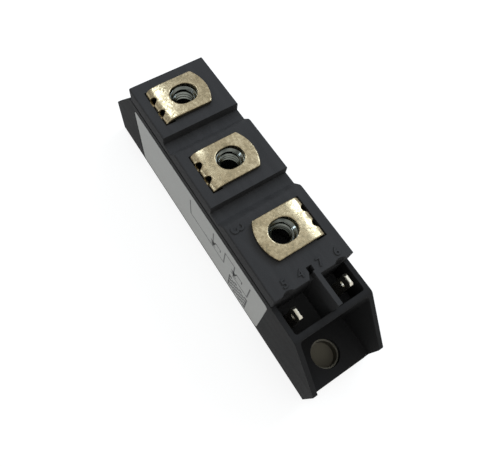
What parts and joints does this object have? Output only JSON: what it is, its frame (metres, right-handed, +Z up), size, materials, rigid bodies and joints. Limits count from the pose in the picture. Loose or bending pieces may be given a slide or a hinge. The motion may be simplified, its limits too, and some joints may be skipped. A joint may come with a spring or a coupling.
{
  "type": "thyristor module",
  "caption": "Slim isolated power module: black moulded case on a metal base, screw bays at both ends, bent power terminals on a grooved deck and control tabs in an end box.",
  "frame": {"origin": "middle of the metal base's underside", "axes": "+X along the length towards the end with the control tabs, -Y towards the label, +Z up through the terminals"},
  "size_m": [0.092, 0.02, 0.03],
  "materials": {
    "base_metal": "nickel-plated copper, satin",
    "case_plastic": "black glass-filled moulded plastic, satin",
    "cover_plastic": "black glass-filled moulded plastic, satin",
    "label_film": "light grey printed film",
    "terminal_metal": "nickel-plated copper with a warm tint",
    "nut_steel": "zinc-plated steel",
    "tab_metal": "tin-plated brass",
    "alumina": "white alumina",
    "copper": "bare copper",
    "silicon": "passivated silicon",
    "molybdenum": "molybdenum, ground",
    "gel": "clear silicone gel",
    "epoxy": "black casting epoxy"
  },
  "bodies": {
    "root": {"base_plate": "base_metal", "case": "case_plastic", "cover": "cover_plastic", "label": "label_film", "power_terminal_1": "terminal_metal", "power_terminal_2": "terminal_metal", "power_terminal_3": "terminal_metal", "terminal_nut_1": "nut_steel", "terminal_nut_2": "nut_steel", "terminal_nut_3": "nut_steel", "control_tab_gate_1": "tab_metal", "control_tab_gate_2": "tab_metal", "ceramic_substrate_1": "alumina", "ceramic_substrate_2": "alumina", "copper_pad_1": "copper", "copper_pad_2": "copper", "copper_pad_3": "copper", "thyristor_chip_1": "silicon", "thyristor_chip_2": "silicon", "cathode_disc_1": "molybdenum", "cathode_disc_2": "molybdenum", "cathode_strap_1": "copper", "cathode_strap_2": "copper", "gate_lead_1": "copper", "gate_lead_2": "copper", "silicone_gel": "gel", "potting_layer": "epoxy"}
  },
  "joints": []
}
